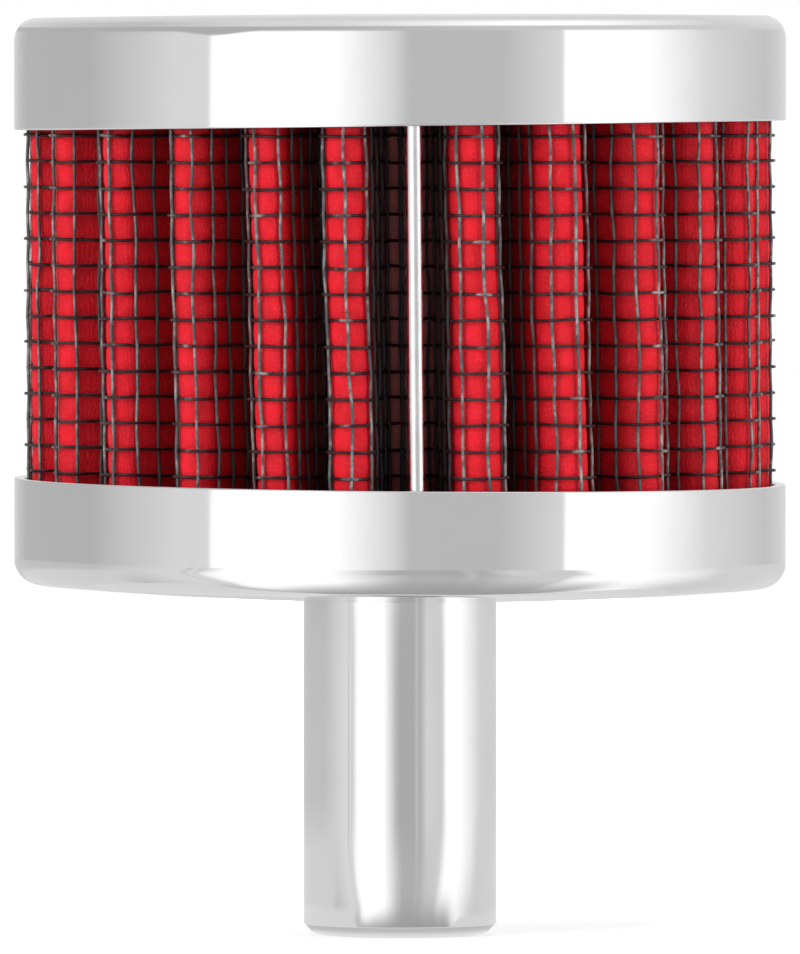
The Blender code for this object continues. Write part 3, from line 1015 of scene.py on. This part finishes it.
def strip_material(finishes, groups):
    """Bright rolled strip with fine lines along it."""
    material, tree, shader = new_material("Bright strip")
    place = object_place(tree)
    lines = place_group(
        tree, groups["ripple"], Vector=place, Swell=400.0, Lines=6000.0, **{"Line Share": 0.4}
    )
    worn = mottled(tree, groups, place, 350.0, 0.0, 0.6)
    dull = scaled(finishes.strip, 0.8)
    feed(tree, shader.inputs["Base Color"], mixed(tree, worn, finishes.strip, dull))
    shader.inputs["Metallic"].default_value = 1.0
    feed(tree, shader.inputs["Roughness"], mottled(tree, groups, place, 500.0, 0.16, 0.3))
    bumped(tree, shader, lines[0], 0.02 * MM)
    return material


def adhesive_material(finishes, groups):
    """Poured black adhesive, smooth with a few small pits."""
    material, tree, shader = new_material("Set adhesive")
    place = object_place(tree)
    pits = mottled(tree, groups, place, 600.0, 0.0, 1.0)
    dusty = scaled(finishes.adhesive, 2.2)
    feed(tree, shader.inputs["Base Color"], mixed(tree, pits, finishes.adhesive, dusty))
    rough = smooth_range(tree, pits, 0.0, 1.0, 0.35, 0.6, "LINEAR")
    feed(tree, shader.inputs["Roughness"], rough)
    bumped(tree, shader, pits, 0.05 * MM)
    return material


# Studio


def angle_round(tree, vector):
    """Angle in degrees from the front, positive towards +X, of a vector."""
    split = tree.nodes.new("ShaderNodeSeparateXYZ")
    feed(tree, split.inputs[0], vector)
    front = maths(tree, "MULTIPLY", split.outputs[1], -1.0)
    radians = maths(tree, "ARCTAN2", split.outputs[0], front)
    return maths(tree, "DEGREES", radians), split.outputs[2]


def brightness_round(tree, angle, stops):
    """Brightness of the studio by angle round from the front."""
    where = smooth_range(tree, angle, -180.0, 180.0, 0.0, 1.0, "LINEAR")
    ramp = tree.nodes.new("ShaderNodeValToRGB")
    feed(tree, ramp.inputs[0], where)
    elements = ramp.color_ramp.elements
    while len(elements) < len(stops):
        elements.new(0.5)
    for element, (degrees, value) in zip(elements, stops):
        element.position = (degrees + 180) / 360
        level = value / WHITE_PANEL
        element.color = (level, level, level, 1.0)
    return maths(tree, "MULTIPLY", ramp.outputs[0], WHITE_PANEL)


def panels_group():
    """Brightness of the studio by direction: white panels at the sides, a pale ceiling.

    Its edges run where a round shape that is seen from the front turns to the same degree.
    """
    group, given, made = new_group(
        "Studio panels", (("Direction", "NodeSocketVector", None),), ("Brightness",)
    )
    halfway = vector_maths(group, "ADD", given["Direction"], (0.0, -1.0, 0.0))
    half_angle, rise = angle_round(group, vector_maths(group, "NORMALIZE", halfway))
    angle = maths(group, "MULTIPLY", half_angle, 2.0)
    height = maths(group, "DEGREES", maths(group, "ARCSINE", rise))
    walls = brightness_round(group, angle, CUP_VIEW)
    ceiling = brightness_round(group, angle, CEILING_VIEW)
    overhead = smooth_range(group, height, 44.0, 58.0)
    ceiling = mix_values(group, overhead, ceiling, 0.80)
    edge_shade = smooth_range(group, angle, -60.0, 90.0, 0.53, 0.76)
    from_corner = maths(group, "ABSOLUTE", maths(group, "ADD", angle, 57.0))
    rounding = smooth_range(group, from_corner, 0.0, 15.0, 10.0, 0.0)
    above_walls = maths(group, "ADD", height, rounding)
    in_edge = smooth_range(group, above_walls, 17.0, 24.0)
    over_edge = smooth_range(group, height, 31.0, 36.0)
    lower = mix_values(group, in_edge, walls, edge_shade)
    feed(group, made["Brightness"], mix_values(group, over_edge, lower, ceiling))
    return group


def mix_values(tree, factor, first, second):
    node = tree.nodes.new("ShaderNodeMix")
    node.data_type = "FLOAT"
    feed(tree, node.inputs[0], factor)
    feed(tree, node.inputs[2], first)
    feed(tree, node.inputs[3], second)
    return node.outputs[0]


def light_world(world, studio):
    """White to the camera, panels to metal, and an even light to everything else."""
    world.use_nodes = True
    tree = world.node_tree
    tree.nodes.clear()
    sees = tree.nodes.new("ShaderNodeLightPath").outputs
    direction = tree.nodes.new("ShaderNodeTexCoord").outputs["Generated"]
    panels = place_group(tree, panels_group(), Direction=direction)[0]
    mirrored = maths(tree, "MAXIMUM", sees["Is Glossy Ray"], sees["Is Transmission Ray"])
    strength = mix_values(tree, mirrored, studio.ambient, panels)
    strength = mix_values(tree, sees["Is Camera Ray"], strength, 1.0)
    background = tree.nodes.new("ShaderNodeBackground")
    background.inputs["Color"].default_value = (1.0, 1.0, 1.0, 1.0)
    feed(tree, background.inputs["Strength"], strength)
    output = tree.nodes.new("ShaderNodeOutputWorld")
    tree.links.new(background.outputs[0], output.inputs[0])


def table_material(studio):
    """Pale table that keeps the filter's shadow, and that chrome mirrors as a studio table."""
    material, tree, shader = new_material("Pale table")
    tree.nodes.remove(shader)
    sees = tree.nodes.new("ShaderNodeLightPath").outputs
    geometry = tree.nodes.new("ShaderNodeNewGeometry").outputs
    place = geometry["Position"]
    matt = tree.nodes.new("ShaderNodeBsdfDiffuse")
    grain = smooth_range(tree, noise(tree, place, 400.0, 3.0), 0.0, 1.0, 0.78, 0.84, "LINEAR")
    shade = tree.nodes.new("ShaderNodeCombineColor")
    for socket in shade.inputs:
        feed(tree, socket, grain)
    feed(tree, matt.inputs["Color"], shade.outputs[0])
    lift = tree.nodes.new("ShaderNodeEmission")
    away = vector_maths(tree, "LENGTH", place)
    white = smooth_range(tree, away, 0.05, 0.3, studio.table_white, 1.0)
    feed(tree, lift.inputs["Strength"], maths(tree, "MULTIPLY", sees["Is Camera Ray"], white))
    lit = tree.nodes.new("ShaderNodeAddShader")
    feed(tree, lit.inputs[0], matt.outputs[0])
    feed(tree, lit.inputs[1], lift.outputs[0])
    mirrored = tree.nodes.new("ShaderNodeEmission")
    feed(tree, mirrored.inputs["Strength"], mirrored_table(tree, place, away))
    front = choose_shader(tree, sees["Is Glossy Ray"], lit.outputs[0], mirrored.outputs[0])
    clear = tree.nodes.new("ShaderNodeBsdfTransparent")
    whole = choose_shader(tree, geometry["Backfacing"], front, clear.outputs[0])
    tree.links.new(whole, tree.nodes["Material Output"].inputs[0])
    material.cycles.emission_sampling = "NONE"
    return material


def mirrored_table(tree, place, away):
    """Brightness of the table in chrome, with the filter's own shade round its foot."""
    widest_fan, near_shade, foot_shade = 0.32, 0.42, 0.62
    beside_tube, round_tube, pale_sides = 0.83, 0.87, 0.78
    shade_start = 11 * MM
    angle, _ = angle_round(tree, place)
    # Nearer the filter the same light is mirrored from further round
    fan = maths(tree, "SUBTRACT", maths(tree, "DIVIDE", 18 * MM, away), 0.13)
    fan = maths(tree, "MINIMUM", maths(tree, "MAXIMUM", fan, 0.0), widest_fan)
    seen = maths(tree, "MULTIPLY", angle, maths(tree, "ADD", fan, 1.0))
    far = brightness_round(tree, seen, TUBE_VIEW)
    near = mix_values(tree, 0.5, far, brightness_round(tree, seen, CUP_VIEW))
    whole = mix_values(tree, smooth_range(tree, away, 0.08, 0.18), near, far)
    left_side = smooth_range(tree, angle, -86.0, -72.0, 1.0, 0.0)
    at_sides = maths(tree, "MAXIMUM", left_side, smooth_range(tree, angle, 92.0, 108.0))
    pale = maths(tree, "MULTIPLY", at_sides, smooth_range(tree, away, 0.10, 0.20, 1.0, 0.0))
    whole = mix_values(tree, pale, whole, pale_sides)
    # The filter's shade in front of it, wider to the left and the right
    to_left = smooth_range(tree, angle, -62.0, -34.0, 29 * MM, 0.0)
    to_right = smooth_range(tree, angle, 36.0, 75.0, 0.0, 20 * MM)
    shade_edge = maths(tree, "ADD", maths(tree, "ADD", to_left, to_right), shade_start)
    beyond = maths(tree, "SUBTRACT", away, shade_edge)
    fade = smooth_range(tree, angle, -62.0, 10.0, 14 * MM, 55 * MM)
    shaded = smooth_range(tree, beyond, 2 * MM, fade, 1.0, 0.0)
    from_front = maths(tree, "ABSOLUTE", maths(tree, "SUBTRACT", angle, 5.0))
    in_front = smooth_range(tree, from_front, 40.0, 62.0, 1.0, 0.0)
    whole = mix_values(tree, maths(tree, "MULTIPLY", shaded, in_front), whole, near_shade)
    whole = mix_values(tree, smooth_range(tree, beyond, -2 * MM, 0.5 * MM), beside_tube, whole)
    # The tube's own rim and the dark line where it stands
    by_foot = smooth_range(tree, away, 6.3 * MM, 7.5 * MM, foot_shade, round_tube)
    foot = mix_values(tree, smooth_range(tree, away, 5.7 * MM, 6.2 * MM), 0.95, by_foot)
    return mix_values(tree, smooth_range(tree, away, 7.5 * MM, 9 * MM), foot, whole)


def choose_shader(tree, factor, first, second):
    node = tree.nodes.new("ShaderNodeMixShader")
    feed(tree, node.inputs[0], factor)
    feed(tree, node.inputs[1], first)
    feed(tree, node.inputs[2], second)
    return node.outputs[0]


def add_lamp(name, power, angle, height, distance, size):
    """An area lamp that faces the filter and that metal doesn't mirror."""
    lamp = bpy.data.lights.new(name, "AREA")
    lamp.shape = "SQUARE"
    lamp.size = size
    lamp.energy = power
    piece = bpy.data.objects.new(name, lamp)
    bpy.context.scene.collection.objects.link(piece)
    angle, height = math.radians(angle), math.radians(height)
    flat = outward(angle) * math.cos(height)
    aim = Vector((0.0, 0.0, PACK_MIDDLE))
    away = Vector((flat.x, flat.y, math.sin(height)))
    piece.location = aim + away * distance
    piece.rotation_euler = (-away).to_track_quat("-Z", "Y").to_euler()
    piece.visible_glossy = False
    piece.visible_camera = False


# Operators


def shared_groups():
    """The shader groups that more than one material uses, made once."""
    names = {"mottle": "Mottle", "ripple": "Drawn ripple", "weave": "Open weave"}
    makers = {"mottle": mottle_group, "ripple": ripple_group, "weave": weave_group}
    return {key: bpy.data.node_groups.get(names[key]) or makers[key]() for key in names}


class BREATHER_OT_cups(bpy.types.Operator):
    """Turn the two chromed cups"""

    bl_idname = "breather.cups"
    bl_label = "Cups"

    def execute(self, context):
        sizes = context.scene.breather_cups
        finishes = context.scene.breather_finishes
        chrome = chrome_material("Chrome plate", finishes, shared_groups(), 110.0, 1500.0, 0.02)
        top = [(r, z + TOP_FACE) for r, z in rounded(cup_corners(sizes, 0.0))]
        hole = TUBE_RADIUS + sizes.hole_gap
        base = [(r, BASE_FACE - z) for r, z in reversed(rounded(cup_corners(sizes, hole)))]
        top_rim = (sizes.top_tilt, sizes.top_drop)
        top_bulge = (sizes.top_dome, sizes.top_peak, 0.0)
        bore = CUP_RADIUS - sizes.wall - 0.01 * MM
        top_move = pressed_shape(top_rim, top_bulge, TOP_FACE, sizes.corner, bore)
        base_rim = (sizes.base_tilt, sizes.base_drop)
        base_bulge = (-sizes.base_dome, sizes.base_peak, -sizes.base_sink)
        base_move = pressed_shape(base_rim, base_bulge, BASE_FACE, sizes.corner, bore)
        top_mesh = turned_mesh("top_cup", top[1:-1], sizes.steps, top_move)
        base_mesh = turned_mesh("base_cup", base[1:], sizes.steps, base_move)
        weight_normals(new_piece("top_cup", top_mesh, chrome, "top_cap"))
        weight_normals(new_piece("base_cup", base_mesh, chrome, "base_cap"))
        return {"FINISHED"}


class BREATHER_OT_tube(bpy.types.Operator):
    """Turn the chromed vent tube with its flange"""

    bl_idname = "breather.tube"
    bl_label = "Vent tube"

    def execute(self, context):
        sizes = context.scene.breather_tube
        finishes = context.scene.breather_finishes
        chrome = chrome_material("Chrome tube", finishes, shared_groups(), 140.0, 2600.0, 0.12)
        bore = TUBE_RADIUS - sizes.wall
        seat = TUBE_TOP - sizes.flange
        edge = sizes.edge_round
        corners = [
            (FLANGE_RADIUS, TUBE_TOP - sizes.flange / 2, 0.0),
            (FLANGE_RADIUS, seat, edge),
            (TUBE_RADIUS, seat, edge),
            (TUBE_RADIUS, sizes.chamfer, edge),
            (TUBE_RADIUS - sizes.chamfer, 0.0, edge),
            (bore, 0.0, edge),
            (bore, TUBE_TOP, sizes.flare),
            (FLANGE_RADIUS, TUBE_TOP, edge),
            (FLANGE_RADIUS, TUBE_TOP - sizes.flange / 2, 0.0),
        ]
        mesh = turned_mesh("tube", rounded(corners, 6)[1:], sizes.steps)
        weight_normals(new_piece("tube", mesh, chrome, "vent_tube"))
        return {"FINISHED"}


class BREATHER_OT_cloth(bpy.types.Operator):
    """Pleat the red cloth"""

    bl_idname = "breather.cloth"
    bl_label = "Cloth"

    def execute(self, context):
        scene = context.scene
        material = cloth_material(scene.breather_finishes, shared_groups())
        make_cloth(material, scene.breather_pleats, scene.breather_screens)
        return {"FINISHED"}


class BREATHER_OT_screens(bpy.types.Operator):
    """Weave the wire screens on both faces of the cloth"""

    bl_idname = "breather.screens"
    bl_label = "Wire screens"

    def execute(self, context):
        scene = context.scene
        finishes = scene.breather_finishes
        groups = shared_groups()
        # The rings' darker, redder coating is painted shade and a painted reflection of the red cloth.
        rings = wire_material("Ring wire with painted shade", finishes.ring, 0.06, 0.25, finishes, groups)
        uprights = wire_material("Coated upright wire", finishes.upright, 0.7, 0.45, finishes, groups)
        make_outer_screen(rings, uprights, scene.breather_pleats, scene.breather_screens)
        make_inner_screen(rings, uprights, scene.breather_pleats, scene.breather_screens)
        return {"FINISHED"}


class BREATHER_OT_clip(bpy.types.Operator):
    """Fold the bright clip over the seam"""

    bl_idname = "breather.clip"
    bl_label = "Seam clip"

    def execute(self, context):
        scene = context.scene
        material = strip_material(scene.breather_finishes, shared_groups())
        make_clip(material, scene.breather_pleats, scene.breather_screens)
        return {"FINISHED"}


class BREATHER_OT_adhesive(bpy.types.Operator):
    """Finish the set adhesive, whose CAD solids stay"""

    bl_idname = "breather.adhesive"
    bl_label = "Adhesive"

    def execute(self, context):
        material = adhesive_material(context.scene.breather_finishes, shared_groups())
        for node in ("top_potting", "base_potting"):
            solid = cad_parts[node]
            solid.data.materials.clear()
            solid.data.materials.append(material)
        return {"FINISHED"}


class BREATHER_OT_stage(bpy.types.Operator):
    """Set the table, the lamps, the world and the camera"""

    bl_idname = "breather.stage"
    bl_label = "Stage"

    def execute(self, context):
        scene = context.scene
        studio = scene.breather_studio
        steps = 96
        rim = [outward(2 * math.pi * i / steps) * studio.table_radius for i in range(steps)]
        mesh = bpy.data.meshes.new("table")
        mesh.from_pydata([(p.x, p.y, 0.0) for p in rim], [], [tuple(range(steps))])
        table = bpy.data.objects.new("table", mesh)
        scene.collection.objects.link(table)
        mesh.materials.append(table_material(studio))
        add_lamp("key_lamp", studio.key, -52.0, 18.0, 0.6, 0.35)
        add_lamp("side_lamp", studio.side, 60.0, 12.0, 0.6, 0.35)
        add_lamp("top_lamp", studio.top, 0.0, 80.0, 0.6, 0.5)
        add_lamp("back_lamp", studio.back, 170.0, 20.0, 0.6, 0.5)
        scene.world = scene.world or bpy.data.worlds.new("World")
        light_world(scene.world, studio)
        scene.view_settings.view_transform = "Standard"
        camera = bpy.data.cameras.new("camera")
        camera.lens = CAMERA_LENS
        camera.sensor_width = 36.0
        camera.clip_start = 0.1
        piece = bpy.data.objects.new("camera", camera)
        scene.collection.objects.link(piece)
        piece.location = CAMERA_PLACE
        aim = Vector(CAMERA_AIM) - piece.location
        piece.rotation_euler = aim.to_track_quat("-Z", "Y").to_euler()
        scene.camera = piece
        return {"FINISHED"}


OPERATORS = (
    BREATHER_OT_stage,
    BREATHER_OT_cups,
    BREATHER_OT_tube,
    BREATHER_OT_cloth,
    BREATHER_OT_screens,
    BREATHER_OT_clip,
    BREATHER_OT_adhesive,
)

SETTINGS = {
    "breather_cups": CupSizes,
    "breather_tube": TubeSizes,
    "breather_pleats": PleatSizes,
    "breather_screens": ScreenSizes,
    "breather_finishes": Finishes,
    "breather_studio": StudioLight,
}


class BREATHER_PT_sidebar(bpy.types.Panel):
    """Sizes, colours and steps of the breather filter"""

    bl_idname = "BREATHER_PT_sidebar"
    bl_label = "Breather filter"
    bl_space_type = "VIEW_3D"
    bl_region_type = "UI"
    bl_category = "Breather"

    def draw(self, context):
        for setting, kind in SETTINGS.items():
            box = self.layout.box()
            box.label(text=kind.__name__)
            for name in kind.__annotations__:
                box.prop(getattr(context.scene, setting), name)
        for operator in OPERATORS:
            self.layout.operator(operator.bl_idname)


CLASSES = (*SETTINGS.values(), *OPERATORS, BREATHER_PT_sidebar)


def register():
    for made in CLASSES:
        bpy.utils.register_class(made)
    for setting, kind in SETTINGS.items():
        setattr(bpy.types.Scene, setting, PointerProperty(type=kind))


def unregister():
    for setting in SETTINGS:
        delattr(bpy.types.Scene, setting)
    for made in reversed(CLASSES):
        bpy.utils.unregister_class(made)


def main():
    register()
    bpy.ops.breather.stage()
    bpy.ops.breather.cups()
    bpy.ops.breather.tube()
    bpy.ops.breather.cloth()
    bpy.ops.breather.screens()
    bpy.ops.breather.clip()
    bpy.ops.breather.adhesive()


if __name__ == "__main__":
    main()
